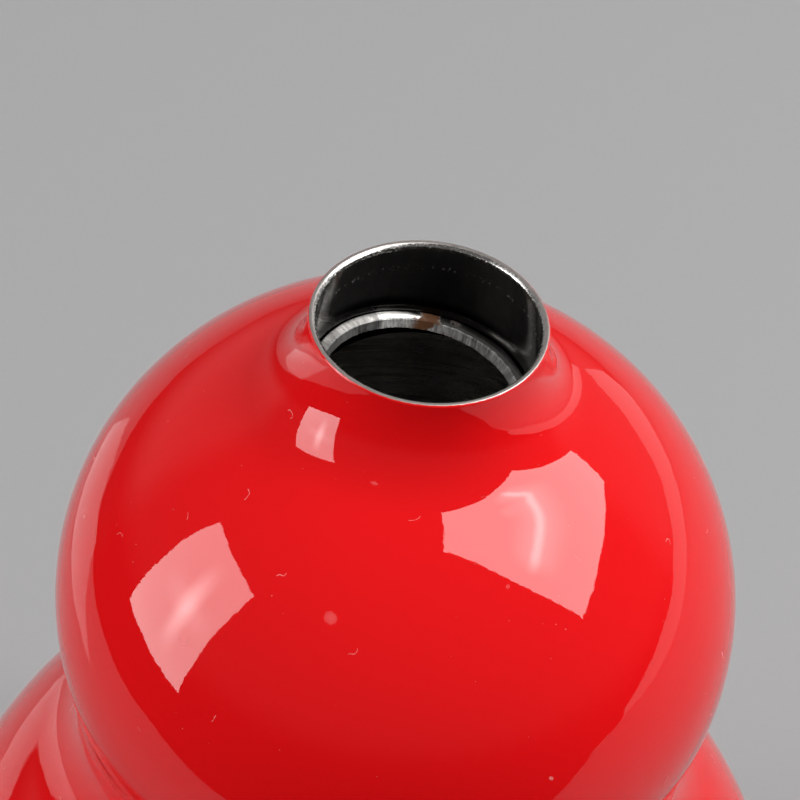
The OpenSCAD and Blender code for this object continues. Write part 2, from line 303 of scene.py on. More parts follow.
class Nodes:
    """Adds nodes to a tree and joins them, with plain numbers or sockets as inputs."""

    def __init__(self, tree):
        self.tree = tree

    def add(self, kind, inputs=None, **settings):
        node = self.tree.nodes.new(kind)
        for key, value in settings.items():
            setattr(node, key, value)
        for key, value in (inputs or {}).items():
            self.put(node.inputs[key], value)
        return node

    def put(self, socket, value):
        if isinstance(value, bpy.types.NodeSocket):
            self.tree.links.new(value, socket)
        else:
            socket.default_value = value

    def math(self, operation, *values):
        node = self.add("ShaderNodeMath", operation=operation)
        for socket, value in zip(node.inputs, values):
            self.put(socket, value)
        return node.outputs[0]

    def plus(self, first, second):
        return self.math("ADD", first, second)

    def minus(self, first, second):
        return self.math("SUBTRACT", first, second)

    def times(self, first, second):
        return self.math("MULTIPLY", first, second)

    def vector(self, operation, *values, scale=None):
        node = self.add("ShaderNodeVectorMath", operation=operation)
        for socket, value in zip(node.inputs, values):
            self.put(socket, value)
        if scale is not None:
            self.put(node.inputs["Scale"], scale)
        return node.outputs["Value" if operation in ("LENGTH", "DISTANCE", "DOT_PRODUCT") else 0]

    def fade(self, value, start, end, low=0.0, high=1.0):
        """Smooth step from low to high as value goes from start to end."""
        node = self.add("ShaderNodeMapRange", interpolation_type="SMOOTHSTEP")
        for key, number in zip(("Value", "From Min", "From Max", "To Min", "To Max"),
                               (value, start, end, low, high)):
            self.put(node.inputs[key], number)
        return node.outputs[0]

    def mix(self, share, first, second):
        node = self.add("ShaderNodeMix", data_type="RGBA")
        self.put(node.inputs[0], share)
        self.put(node.inputs[6], first)
        self.put(node.inputs[7], second)
        return node.outputs[2]

    def noise(self, vector, scale, detail=2.0, roughness=0.5, output="Fac"):
        node = self.add("ShaderNodeTexNoise", {
            "Vector": vector, "Scale": scale, "Detail": detail, "Roughness": roughness,
        })
        return node.outputs[output]

    def finish(self, shader, tone, roughness, height, depth):
        """Joins a finish's colour, roughness and relief of the given depth to its shader."""
        relief = self.add("ShaderNodeBump", {"Height": height, "Distance": depth, "Strength": 1.0})
        self.put(shader["Base Color"], tone)
        self.put(shader["Roughness"], roughness)
        self.put(shader["Normal"], relief.outputs[0])

    def place(self):
        """Position on the object, in metres."""
        return self.add("ShaderNodeTexCoord").outputs["Object"]

    def split(self, vector):
        return self.add("ShaderNodeSeparateXYZ", {0: vector}).outputs

    def round_axis(self, vector):
        """Angle about Z in radians, distance from Z and height."""
        parts = self.split(vector)
        turn = self.math("ARCTAN2", parts[1], parts[0])
        squares = self.plus(self.times(parts[0], parts[0]), self.times(parts[1], parts[1]))
        return turn, self.math("SQRT", squares), parts[2]


def shade(rgb, share=1.0):
    """Opaque colour, darker or lighter by a share."""
    return (*(c * share for c in rgb), 1.0)


def effect(name, numbers, outputs, build):
    """Makes a node group once, with named sockets, and returns it; outputs are plain numbers."""
    group = bpy.data.node_groups.get(name)
    if group:
        return group
    group = bpy.data.node_groups.new(name, "ShaderNodeTree")
    group.interface.new_socket("Position", in_out="INPUT", socket_type="NodeSocketVector")
    for label, value in numbers.items():
        kind = "Float" if isinstance(value, float) else "Vector"
        socket = group.interface.new_socket(label, in_out="INPUT", socket_type="NodeSocket" + kind)
        socket.default_value = value
    for label in outputs:
        group.interface.new_socket(label, in_out="OUTPUT", socket_type="NodeSocketFloat")
    n = Nodes(group)
    given = n.add("NodeGroupInput").outputs
    result = n.add("NodeGroupOutput").inputs
    for label, socket in build(n, given).items():
        n.put(result[label], socket)
    return group


def use(n, group, **values):
    """Places an effect in a material; spaces in socket names are written as underscores."""
    node = n.add("ShaderNodeGroup", node_tree=group)
    for key, value in values.items():
        n.put(node.inputs[key.replace("_", " ")], value)
    return node.outputs


# ---------------- effects

def surface_wave():
    """Long, low waves and fine peel left by a sprayed or polished finish."""
    def build(n, given):
        long_wave = n.noise(given["Position"], given["Wave Scale"], 1.0)
        peel = n.noise(given["Position"], given["Peel Scale"], 2.0, 0.55)
        waved = n.times(long_wave, given["Wave Height"])
        return {"Height": n.plus(waved, n.times(peel, given["Peel Height"]))}
    numbers = {"Wave Scale": 150.0, "Wave Height": 1.0, "Peel Scale": 900.0, "Peel Height": 0.2}
    return effect("Surface wave", numbers, ["Height"], build)


def dust():
    """Specks and short curled fibres that have settled on a surface, as a mask."""
    def specks(n, given):
        cells = n.add("ShaderNodeTexVoronoi", {"Vector": given["Position"], "Scale": given["Speck Scale"]})
        draw = n.add("ShaderNodeSeparateColor", {0: cells.outputs["Color"]}).outputs
        chosen = n.math("LESS_THAN", draw[0], given["Speck Share"])
        size = n.times(given["Speck Size"], n.plus(0.4, draw[1]))
        gap = n.math("DIVIDE", cells.outputs["Distance"], given["Speck Scale"])
        return n.times(chosen, n.fade(gap, size, n.times(size, 0.4)))

    def fibres(n, given):
        place, length, width = given["Position"], given["Fibre Length"], given["Fibre Width"]
        cells = n.add("ShaderNodeTexVoronoi", {"Vector": place, "Scale": given["Fibre Scale"]})
        pick = n.add("ShaderNodeSeparateColor", {0: cells.outputs["Color"]}).outputs
        wanted = n.math("LESS_THAN", pick[0], given["Fibre Share"])
        aim = n.vector("NORMALIZE", n.vector("SUBTRACT", cells.outputs["Color"], (0.5, 0.5, 0.5)))
        curl = n.times(length, n.plus(0.65, n.times(pick[1], 1.4)))
        nook = n.vector("ADD", cells.outputs["Position"], n.vector("SCALE", aim, scale=curl))
        drift = n.noise(place, given["Curl Scale"], 1.0, output="Color")
        waver = n.vector("SCALE", n.vector("SUBTRACT", drift, (0.5, 0.5, 0.5)), scale=n.times(length, 0.9))
        bent = n.vector("ADD", place, waver)
        off_line = n.math("ABSOLUTE", n.minus(n.vector("DISTANCE", bent, nook), curl))
        line = n.fade(off_line, width, n.times(width, 0.3))
        reach = n.vector("DISTANCE", place, cells.outputs["Position"])
        within = n.fade(reach, length, n.times(length, 0.85))
        return n.times(wanted, n.times(line, within))

    def build(n, given):
        return {"Mask": n.math("MAXIMUM", specks(n, given), fibres(n, given))}
    numbers = {
        "Speck Scale": 260.0, "Speck Share": 0.05, "Speck Size": 0.1 * MM, "Fibre Scale": 110.0,
        "Fibre Share": 0.1, "Fibre Length": 0.6 * MM, "Fibre Width": 0.06 * MM, "Curl Scale": 900.0,
    }
    return effect("Dust", numbers, ["Mask"], build)


def grain():
    """Fine lines that run along one direction, made by stretching a noise."""
    def build(n, given):
        spread = n.vector("MULTIPLY", given["Position"], given["Stretch"])
        fine = n.noise(spread, given["Scale"], 3.0, 0.65)
        coarse = n.noise(spread, n.times(given["Scale"], 0.23), 2.0)
        both = n.plus(n.times(fine, 0.65), n.times(coarse, 0.35))
        return {"Height": both, "Mask": n.fade(both, given["Low"], given["High"])}
    numbers = {"Stretch": (1.0, 1.0, 1.0), "Scale": 1000.0, "Low": 0.3, "High": 0.7}
    return effect("Grain", numbers, ["Height", "Mask"], build)


def stain():
    """Patches with soft, broken edges, as a mask."""
    def build(n, given):
        broad = n.noise(given["Position"], given["Scale"], 3.0, 0.6)
        fine = n.noise(given["Position"], n.times(given["Scale"], 6.0), 2.0)
        mixed = n.plus(n.times(broad, 0.8), n.times(fine, 0.2))
        return {"Mask": n.fade(mixed, given["Start"], given["Full"])}
    return effect("Stain", {"Scale": 200.0, "Start": 0.55, "Full": 0.7}, ["Mask"], build)


# ---------------- finishes

def surface(name, metallic=0.0, roughness=0.4, ior=1.5):
    """A plain Principled material, its node builder and its shader's inputs."""
    material = bpy.data.materials.new(name + "_finish")
    material.use_nodes = True
    n = Nodes(material.node_tree)
    shader = material.node_tree.nodes["Principled BSDF"].inputs
    shader["Metallic"].default_value = metallic
    shader["Roughness"].default_value = roughness
    shader["IOR"].default_value = ior
    return material, n, shader


def lacquer(f):
    """Glossy coat with slight peel, wipe marks, and specks and fibres of dust."""
    material, n, shader = surface("lacquer", ior=1.44)
    lint = (0.9, 0.62, 0.6, 1)
    place = n.place()
    wave = use(n, surface_wave(), Position=place, Wave_Scale=150.0, Wave_Height=1.3,
               Peel_Scale=800.0, Peel_Height=0.24)
    settled = use(n, dust(), Position=place, Speck_Scale=700.0, Speck_Share=0.35, Speck_Size=0.07 * MM,
                  Fibre_Scale=200.0, Fibre_Share=0.4, Fibre_Length=0.8 * MM, Fibre_Width=0.05 * MM)["Mask"]
    wiped = use(n, grain(), Position=place, Stretch=(2.0, 0.45, 1.1), Scale=1500.0, Low=0.52, High=0.8)
    worn = use(n, stain(), Position=place, Scale=45.0, Start=0.5, Full=0.66)
    mottle = n.noise(place, 30.0, 2.0)
    tone = n.mix(n.times(mottle, 0.35), shade(f.lacquer), shade(f.lacquer, 0.86))
    rough = n.plus(f.lacquer_gloss, n.times(n.times(wiped["Mask"], worn["Mask"]), 0.035))
    n.finish(shader, n.mix(n.times(settled, 0.2), tone, lint), n.plus(rough, n.times(settled, 0.4)),
             n.plus(wave["Height"], n.times(settled, 0.3)), 0.02 * MM)
    return material


def ground_weld(f, s):
    """Satin ground top, a brighter rolled lip inside it and the lacquer's broken edge outside it."""
    material, n, shader = surface("ground_weld", metallic=1.0)
    painted_width, lip_start = 0.12 * MM, 0.56 * MM
    place = n.place()
    out = n.round_axis(place)[1]
    coarse = n.noise(place, 2600.0, 3.0, 0.65)
    ragged = n.times(n.minus(n.noise(place, 1600.0, 3.0, 0.6), 0.5), 0.16 * MM)
    edge = n.minus(s.neck_r, n.plus(out, ragged))
    painted = n.fade(edge, painted_width + 0.03 * MM, painted_width)
    unpainted = n.minus(1.0, painted)
    lip = n.fade(edge, lip_start, lip_start + 0.08 * MM)
    rubbed = use(n, grain(), Position=place, Scale=3800.0)
    steel = n.mix(rubbed["Mask"], shade(f.ground, 0.8), shade(f.ground))
    bright = n.mix(coarse, (0.45, 0.43, 0.41, 1), (0.66, 0.64, 0.62, 1))
    satin = n.fade(coarse, 0.3, 0.7, 0.42, 0.52)
    rolled = n.fade(coarse, 0.3, 0.7, 0.18, 0.32)
    bare_rough = n.plus(n.times(satin, n.minus(1.0, lip)), n.times(lip, rolled))
    height = n.plus(coarse, n.times(rubbed["Height"], 0.6))
    n.put(shader["Metallic"], unpainted)
    n.finish(shader, n.mix(painted, n.mix(lip, steel, bright), shade(f.lacquer)),
             n.times(bare_rough, n.minus(1.0, n.times(painted, 0.9))), n.times(height, unpainted), 0.01 * MM)
    return material


def polished_steel(f, s):
    """Mirror bore: turning lines, tiny pits, a dotted ring under the weld and painted shade over the seat."""
    material, n, shader = surface("polished_steel", metallic=0.975)
    place = n.place()
    lines = use(n, grain(), Position=place, Stretch=(0.03, 0.03, 1.0), Scale=6000.0)
    pits = use(n, dust(), Position=place, Speck_Scale=600.0, Speck_Share=0.02, Speck_Size=0.09 * MM,
               Fibre_Share=0.0)
    depth = n.minus(top_of("rim_weld"), n.round_axis(place)[2])
    dotted = n.times(n.fade(depth, 3.0 * MM, 3.5 * MM), n.fade(depth, 4.2 * MM, 3.7 * MM))
    dots = n.times(dotted, n.fade(n.noise(place, 3200.0, 1.0), 0.6, 0.7))
    flecks = n.math("MAXIMUM", pits["Mask"], dots)
    ring = seat_plane(s)
    from_ring = n.vector("SUBTRACT", place, tuple(ring.translation))
    # Painted shade: the bore wall just above the seat ring is darkened to near black.
    painted_shade_over_seat = n.fade(n.vector("DOT_PRODUCT", from_ring, tuple(ring.col[2].xyz)), 3.0 * MM, 1.5 * MM)
    clean = n.mix(lines["Mask"], shade(f.mirror, 0.9), shade(f.mirror))
    steel = n.mix(painted_shade_over_seat, clean, shade(f.mirror, 0.08))
    gloss = n.fade(lines["Height"], 0.2, 0.8, 0.07, 0.13)
    n.finish(shader, n.mix(flecks, steel, (0.85, 0.82, 0.78, 1)), n.plus(gloss, n.times(flecks, 0.3)),
             n.plus(n.times(lines["Height"], 0.5), n.times(flecks, 2.0)), 0.004 * MM)
    return material


def liner_steel(f):
    """Turned inner wall with fine rings and a cloudy tone."""
    material, n, shader = surface("liner_steel", metallic=0.95)
    place = n.place()
    rings = use(n, grain(), Position=place, Stretch=(0.04, 0.04, 1.0), Scale=2400.0)
    n.finish(shader, n.mix(n.noise(place, 90.0, 3.0), shade(f.pressed, 0.8), shade(f.pressed)),
             n.fade(rings["Height"], 0.25, 0.75, 0.2, 0.34), rings["Height"], 0.006 * MM)
    return material


def pressed_steel(f, s):
    """Bright pressed ledge with a torn, striated inner edge, a scaly side and rust at the back."""
    material, n, shader = surface("pressed_steel", metallic=1.0)
    place = n.place()
    turn, out, up = n.round_axis(place)
    inner = s.mouth_r - s.seat_width
    uneven = n.plus(out, n.times(n.minus(n.noise(place, 900.0, 3.0), 0.5), 0.4 * MM))
    torn = n.fade(uneven, inner + 0.42 * MM, inner + 0.32 * MM)
    scaly_end = n.plus(turn, n.times(n.noise(place, 700.0, 3.0), 0.3))
    scaly = n.times(n.fade(scaly_end, radians(124), radians(133)), 0.92)
    coarse = n.math("MAXIMUM", scaly, torn)
    around = n.add("ShaderNodeCombineXYZ", {0: n.times(turn, inner), 2: n.times(up, 0.16)})
    ribs = use(n, grain(), Position=around.outputs[0], Scale=3000.0, Low=0.35, High=0.65)
    pressing = n.noise(place, 420.0, 2.0)
    patches = use(n, stain(), Position=place, Scale=330.0, Start=0.43, Full=0.54)
    back = n.times(n.fade(turn, radians(70), radians(80)),
                   n.fade(turn, radians(104), radians(96)))
    rusted = n.times(patches["Mask"], back)
    ledge = n.mix(pressing, shade(f.pressed, 0.72), shade(f.pressed))
    striated = n.mix(ribs["Mask"], (0.2, 0.195, 0.19, 1), (0.9, 0.88, 0.85, 1))
    scale = n.mix(ribs["Mask"], (0.02, 0.02, 0.019, 1), (0.15, 0.145, 0.14, 1))
    steel = n.mix(coarse, ledge, n.mix(scaly, striated, scale))
    worn = n.plus(n.times(coarse, 0.16), n.times(rusted, 0.35))
    relief = n.times(coarse, n.times(ribs["Height"], 1.6))
    n.put(shader["Metallic"], n.minus(1.0, n.times(n.math("MAXIMUM", rusted, torn), 0.7)))
    n.finish(shader, n.mix(rusted, steel, shade(f.rust)), n.plus(n.fade(pressing, 0.3, 0.7, 0.1, 0.2), worn),
             n.plus(n.times(pressing, 0.7), relief), 0.06 * MM)
    return material


def plain_steel(f):
    """Rolled sheet as it comes from the mill."""
    material, n, shader = surface("plain_steel", metallic=1.0)
    rolled = use(n, grain(), Position=n.place(), Stretch=(0.2, 1.0, 1.0), Scale=2200.0)
    n.finish(shader, n.mix(rolled["Mask"], shade(f.plain, 0.8), shade(f.plain)),
             n.fade(rolled["Height"], 0.25, 0.75, 0.26, 0.42), rolled["Height"], 0.008 * MM)
    return material


def brushed_cover():
    """Disc with fine rings from a turned brush."""
    material, n, shader = surface("brushed_cover", metallic=1.0)
    turn, out = n.round_axis(n.place())[:2]
    spread = n.add("ShaderNodeCombineXYZ", {0: out, 1: n.times(turn, 1.2 * MM)})
    rings = use(n, grain(), Position=spread.outputs[0], Scale=5200.0, Low=0.32, High=0.68)
    n.finish(shader, n.mix(rings["Mask"], (0.5, 0.5, 0.505, 1), (0.7, 0.7, 0.7, 1)),
             n.fade(rings["Height"], 0.2, 0.8, 0.2, 0.36), rings["Height"], 0.01 * MM)
    return material


def copper_foil(f):
    """Thin foil with creased facets."""
    material, n, shader = surface("copper_foil", metallic=1.0)
    place = n.place()
    creases = n.add("ShaderNodeTexVoronoi", {"Vector": place, "Scale": 260.0}, feature="DISTANCE_TO_EDGE")
    sheen = n.noise(place, 120.0, 3.0)
    n.finish(shader, n.mix(sheen, shade(f.copper, 0.75), shade(f.copper)),
             n.fade(sheen, 0.3, 0.7, 0.18, 0.34), creases.outputs["Distance"], 0.2 * MM)
    return material


def getter_metal():
    """Dull pressed powder."""
    material, n, shader = surface("getter_metal", metallic=0.6)
    pressed = n.noise(n.place(), 3000.0, 3.0, 0.7)
    n.finish(shader, n.mix(pressed, (0.09, 0.088, 0.085, 1), (0.24, 0.235, 0.23, 1)),
             n.fade(pressed, 0.3, 0.7, 0.5, 0.75), pressed, 0.03 * MM)
    return material


def seal_glass():
    """Dark fused glass with a swirl."""
    material, n, shader = surface("seal_glass", ior=1.52)
    swirl = n.noise(n.place(), 900.0, 3.0)
    n.finish(shader, n.mix(swirl, (0.06, 0.07, 0.065, 1), (0.16, 0.18, 0.16, 1)),
             n.fade(swirl, 0.3, 0.7, 0.05, 0.14), swirl, 0.03 * MM)
    return material


def soft_pad(f):
    """Closed-cell foam with fine pores and a pressed skin."""
    material, n, shader = surface("soft_pad")
    place = n.place()
    pores = n.add("ShaderNodeTexVoronoi", {"Vector": place, "Scale": 1800.0})
    skin = n.noise(place, 300.0, 3.0)
    n.finish(shader, n.mix(skin, shade(f.pad, 0.7), shade(f.pad, 1.8)), n.fade(skin, 0.3, 0.7, 0.6, 0.8),
             n.plus(pores.outputs["Distance"], n.times(skin, 0.5)), 0.06 * MM)
    return material


def finish_of(name):
    """The material of that name, made when it is first asked for."""
    found = bpy.data.materials.get(name + "_finish")
    if found:
        return found
    f = bpy.context.scene.vessel_finishes
    s = bpy.context.scene.vessel_sizes
    makers = {
        "lacquer": (lacquer, f), "ground_weld": (ground_weld, f, s), "polished_steel": (polished_steel, f, s),
        "liner_steel": (liner_steel, f), "pressed_steel": (pressed_steel, f, s),
        "plain_steel": (plain_steel, f), "brushed_cover": (brushed_cover,), "copper_foil": (copper_foil, f),
        "getter_metal": (getter_metal,), "seal_glass": (seal_glass,), "soft_pad": (soft_pad, f),
    }
    maker, *needs = makers[name]
    return maker(*needs)


# ---------------- pieces

class VESSEL_OT_shells(bpy.types.Operator):
    """Turns the lacquered upper and lower shells"""
    bl_idname = "vessel.shells"
    bl_label = "Outer shells"

    def execute(self, context):
        s = context.scene.vessel_sizes
        outline = ShellOutline(s)
        neck_top = top_of(UPPER_SHELL)
        parts = (
            ("lacquered_upper_shell", outline.upper_part(0, neck_top),
             outline.upper_part(s.shell_wall, neck_top), UPPER_SHELL),
            ("lacquered_lower_shell", outline.lower_part(0),
             outline.lower_part(s.shell_wall), LOWER_SHELL),
        )
        for name, outer, inner, node in parts:
            shell = turned(name, outer + inner[::-1], s.segments)
            fit_out(shell, "lacquer", node)
        return {"FINISHED"}


class VESSEL_OT_mouth(bpy.types.Operator):
    """Turns the ground rim, the polished tube under it and the pressed seat ring"""
    bl_idname = "vessel.mouth"
    bl_label = "Mouth"

    def execute(self, context):
        s = context.scene.vessel_sizes
        self.rim(s)
        self.tube(s)
        self.seat(s)
        return {"FINISHED"}

    def rim(self, s):
        """Ground weld: rounded outer corner, low crown and a rippled lip that rolls into the bore."""
        rim_z = top_of("rim_weld")
        corner_r, crown_r, shoulder_r, inward_r = 0.3 * MM, 1.84 * MM, 0.25 * MM, 0.2 * MM
        turns = (0, 92, 97, 128, 138, 178)
        stand_in, lip_drop, lip_tuck = 0.025 * MM, 0.72 * MM, 0.06 * MM

        def width(r, first, last):
            return r * (cos(radians(first)) - cos(radians(last)))

        taken = width(corner_r, *turns[0:2]) + width(crown_r, *turns[1:3]) + width(shoulder_r, *turns[2:4])
        left = s.neck_r - s.mouth_r + stand_in - taken - width(inward_r, *turns[4:6])
        slope_r = left / width(1, *turns[3:5])
        top = arc((s.neck_r - corner_r, rim_z - corner_r), corner_r, *turns[0:2], 12)
        for r, first, last in zip((crown_r, shoulder_r, slope_r, inward_r), turns[1:5], turns[2:6]):
            top += self.carry_on(top[-1], r, first, last, 6)
        edge = rim_z - lip_drop
        lip = [(s.mouth_r - stand_in, edge + 2 * lip_tuck), (s.mouth_r - stand_in / 2, edge),
               (s.mouth_r + 0.05 * MM, edge - lip_tuck), (s.mouth_r + 0.2 * MM, edge)]
        loop = [(s.neck_r, foot_of("rim_weld"))] + top + lip
        run_in = 4
        ripple_start = len(top) - run_in
        wave_h, fine_h, bead_h = 0.14 * MM, 0.2 * MM, 0.09 * MM

        def ripple(k, a, r, z):
            if not ripple_start < k < len(loop) - 1:
                return r, z
            wave = noise.noise((cos(a) * 22, sin(a) * 22, 0.0))
            fine = noise.noise((cos(a) * 60, sin(a) * 60, 7.0))
            share = min(1.0, (k - ripple_start) / (run_in + 2))
            return r - max(0.0, fine) * bead_h * share, z + share * (wave * wave_h + fine * fine_h)

        rim = turned("ground_rim", loop, 1200, shape=ripple, sharp=60)
        fit_out(rim, "ground_weld", "rim_weld")

    def carry_on(self, start, r, first, last, steps):
        """Arc that goes on from a point without a kink, its first point left out."""
        away = Vector((cos(radians(first)), sin(radians(first))))
        return arc(start - r * away, r, first, last, steps)[1:]

    def tube(self, s):
        """Bore wall with a pocket at its foot for the seat ring."""
        under_lip, tuck_depth = 0.5 * MM, 0.3 * MM
        top = top_of("rim_weld") - under_lip
        foot = foot_of("mouth_tube")
        outer = half_width("mouth_tube")
        pocket_r = outer - s.tube_wall
        pocket_z = top_of("seat_ring") + s.slide_fit
        tuck = seat_plane(s) @ Vector((0, 0, -tuck_depth))
        lean = seat_plane(s).to_3x3()
        loop = (
            (s.mouth_r, top), (s.mouth_r, tuck.z), (pocket_r, tuck.z), (pocket_r, foot),
            (outer, foot), (outer, pocket_z), (s.mouth_r + s.tube_wall, pocket_z + s.seat_pocket),
            (s.mouth_r + s.tube_wall, top),
        )

        def follow_ring(k, a, r, z):
            """Leans the pocket's upper edge with the ring."""
            if k not in (1, 2):
                return r, z
            return r, z + (lean @ Vector((r * cos(a), r * sin(a), 0))).z

        tube = turned("polished_mouth_tube", loop, s.segments, shape=follow_ring)
        fit_out(tube, "polished_steel", "mouth_tube")

    def seat(self, s):
        """Pressed ring: a rolled crest against the bore, a nearly flat ledge and a torn inner edge."""
        outer = s.mouth_r + s.seat_pocket - s.seat_fit
        inner = s.mouth_r - s.seat_width
        crest_r, crest_in, fold_r, torn_width = 0.14 * MM, 0.2 * MM, 0.12 * MM, 0.33 * MM
        ledge_start, ledge_end, fold_end = 100, 113, 172
        ledge = [(outer, -0.5 * MM), (s.mouth_r - 0.02 * MM, -0.35 * MM)]
        ledge += arc((s.mouth_r - crest_in, -crest_r), crest_r, 20, ledge_start, 8)
        ledge_turn = cos(radians(ledge_start)) - cos(radians(ledge_end))
        ledge_r = (ledge[-1].x - inner - torn_width) / ledge_turn
        ledge += self.carry_on(ledge[-1], ledge_r, ledge_start, ledge_end, 10)
        ledge += self.carry_on(ledge[-1], fold_r, ledge_end, fold_end, 5)
        steps_down = ((0.24, -0.6), (0.17, -0.85), (0.09, -1.1), (0.03, -1.3), (0, -1.45))
        torn = [(inner + x * MM, z * MM) for x, z in steps_down]
        under = [(inner + 0.3 * MM, torn[-1][1]), (outer, -0.9 * MM)]
        loop = ledge + torn + under

        def tear(k, a, r, z):
            step = k - len(ledge)
            if not 0 <= step < len(torn):
                return r, z
            rib = noise.noise((cos(a) * 60, sin(a) * 60, step * 0.6))
            bite = noise.noise((cos(a) * 14, sin(a) * 14, 3.0))
            return r + (rib * 0.05 + bite * 0.04) * MM, z + rib * 0.06 * MM

        ring = turned("pressed_seat_ring", loop, 720, shape=tear, sharp=50)
        ring.data.transform(seat_plane(s))
        fit_out(ring, "pressed_steel", "seat_ring")


class VESSEL_OT_liner(bpy.types.Operator):
    """Turns the liner's dome, wall and bottom"""
    bl_idname = "vessel.liner"
    bl_label = "Liner"

    def execute(self, context):
        s = context.scene.vessel_sizes
        wall_r = half_width("liner_tube")
        self.dome(s, wall_r)
        self.wall(s, wall_r)
        self.bottom(s, wall_r)
        return {"FINISHED"}

    def dome(self, s, wall_r):
        steps = 40
        collar_r = half_width("mouth_tube") + s.slide_fit
        foot, collar_top = foot_of("liner_shoulder"), top_of("liner_shoulder")
        dome_top = collar_top - s.collar_h
        rise = (dome_top - foot) / sin(acos(collar_r / wall_r))

        def sweep(inset):
            last = acos(collar_r / (wall_r - inset))
            turns = [last * i / steps for i in range(steps + 1)]
            return [lobe_point(wall_r, rise, foot, inset, a) for a in turns]

        collar = [(collar_r + s.liner_wall, dome_top + s.liner_wall), (collar_r + s.liner_wall, collar_top),
                  (collar_r, collar_top)]
        loop = sweep(0) + collar + sweep(s.liner_wall)[::-1]
        self.fit("liner_dome", loop, s, "liner_shoulder")

    def wall(self, s, wall_r):
        low, high = foot_of("liner_tube"), top_of("liner_tube")
        inner = wall_r - s.liner_wall
        loop = ((inner, low), (wall_r, low), (wall_r, high), (inner, high))
        self.fit("liner_wall", loop, s, "liner_tube")

    def bottom(self, s, wall_r):
        floor = foot_of("liner_base_cup")
        corner = (wall_r - s.cup_corner_r, floor + s.cup_corner_r)

        def cup(inset):
            bend = arc(corner, s.cup_corner_r - inset, -90, 0, 16)
            return [(0, floor + inset)] + bend + [(wall_r - inset, foot_of("liner_tube"))]

        self.fit("liner_bottom", cup(0) + cup(s.liner_wall)[::-1], s, "liner_base_cup", closed=False)

    def fit(self, name, loop, s, node, closed=True):
        piece = turned(name, loop, s.segments, closed=closed)
        fit_out(piece, "polished_steel", node, finish="liner_steel")


class VESSEL_OT_base(bpy.types.Operator):
    """Turns the brushed base cover and the soft pad under it"""
    bl_idname = "vessel.base"
    bl_label = "Base"

    def execute(self, context):
        s = context.scene.vessel_sizes
        self.cover(s)
        self.pad(s)
        return {"FINISHED"}

    def cover(self, s):
        low, high = foot_of("base_cover"), top_of("base_cover")
        edge_r = half_width("base_cover")
        ease = 0.2 * MM
        step_r, step_h = 15 * MM, 0.18 * MM
        under = [(0, low + step_h), (step_r - ease, low + step_h), (step_r + ease, low)]
        rolled = arc((edge_r - ease, low + ease), ease, -90, 0, 6)
        over = [(edge_r, high), (0, high)]
        cover = turned("brushed_base_cover", under + rolled + over, s.segments, closed=False)
        fit_out(cover, "brushed_cover", "base_cover")

    def pad(self, s):
        low, high = foot_of("base_pad"), top_of("base_pad")
        outer, inner = half_width("base_pad"), s.pad_inner_r
        ease = 0.5 * MM
        loop = arc((outer - ease, low + ease), ease, -90, 0, 8)
        loop += [(outer, high), (inner, high)]
        loop += arc((inner + ease, low + ease), ease, 180, 270, 8)
        pad = turned("soft_base_pad", loop, s.segments, sharp=60)
        fit_out(pad, "soft_pad", "base_pad")


class VESSEL_OT_vacuum_parts(bpy.types.Operator):
    """Gives the closed-in pieces of the vacuum space their finishes"""
    bl_idname = "vessel.vacuum_parts"
    bl_label = "Vacuum parts"

    def execute(self, context):
        finishes = {
            "waist_backing_band": "plain_steel", "liner_support": "plain_steel",
            "getter_clip": "plain_steel", "base_dish": "plain_steel",
            "foil_sleeve": "copper_foil", "foil_disc": "copper_foil",
            "getter_pill": "getter_metal", "vacuum_seal": "seal_glass",
        }
        for node, finish in finishes.items():
            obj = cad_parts[node]
            obj.data.materials.clear()
            obj.data.materials.append(finish_of(finish))
        return {"FINISHED"}


# ---------------- stage

def glow(name, strength, build=None):
    """An emitting material, whose strength may vary over the piece."""
    material = bpy.data.materials.new(name)
    material.use_nodes = True
    tree = material.node_tree
    tree.nodes.clear()
    n = Nodes(tree)
    light = n.add("ShaderNodeEmission", {"Color": (1, 1, 1, 1)})
    n.put(light.inputs["Strength"], build(n, strength) if build else strength)
    n.put(n.add("ShaderNodeOutputMaterial").inputs[0], light.outputs[0])
    return material


def matt(name, rgb):
    material, n, shader = surface(name, roughness=0.9)
    fibre = n.noise(n.place(), 900.0, 3.0)
    n.put(shader["Base Color"], n.mix(fibre, shade(rgb, 0.985), shade(rgb, 1.015)))
    return material


def flat_piece(name, outline, material):
    """A flat polygon in the XY plane of its own object."""
    mesh = bpy.data.meshes.new(name)
    mesh.from_pydata([(x, y, 0) for x, y in outline], [], [list(range(len(outline)))])
    mesh.materials.append(material)
    obj = bpy.data.objects.new(name, mesh)
    bpy.context.scene.collection.objects.link(obj)
    return obj


def seen_by(obj, camera=False, diffuse=False, glossy=False):
    obj.visible_camera = camera
    obj.visible_diffuse = diffuse
    obj.visible_glossy = glossy
    obj.visible_transmission = False
    obj.visible_volume_scatter = False
    obj.visible_shadow = camera


def facing(target, azimuth, elevation, distance):
    """Matrix of a panel that stands in a direction from the target; azimuth is taken from +Y towards +X."""
    out = towards(azimuth, elevation)
    side = Vector((0, 0, 1)).cross(out).normalized()
    turn = Matrix((side, out.cross(side), out)).transposed().to_4x4()
    return Matrix.Translation(target + out * distance) @ turn


LIGHT_DISTANCE = 1.6
# Upper and lower edge of the strip, as azimuth and elevation in degrees
STRIP_EDGES = (
    ((25.5, 7), (25, -1)), ((30, 8), (30, -5)), ((41, 6), (41, -7)), ((49, 4), (49, -9)),
    ((58, 2.5), (58, -11)), ((66, 1), (66, -13)), ((74, -1.5), (74, -15)), ((81, -3), (81, -17)),
    ((90, -6), (90, -18)), ((97, -8.5), (97, -18)), ((103, -11), (103, -18)),
)
# Name, azimuth, elevation and radius
LAMPS = (("round_lamp", -154, 41.6, 0.058), ("small_lamp", 123, 48, 0.02))
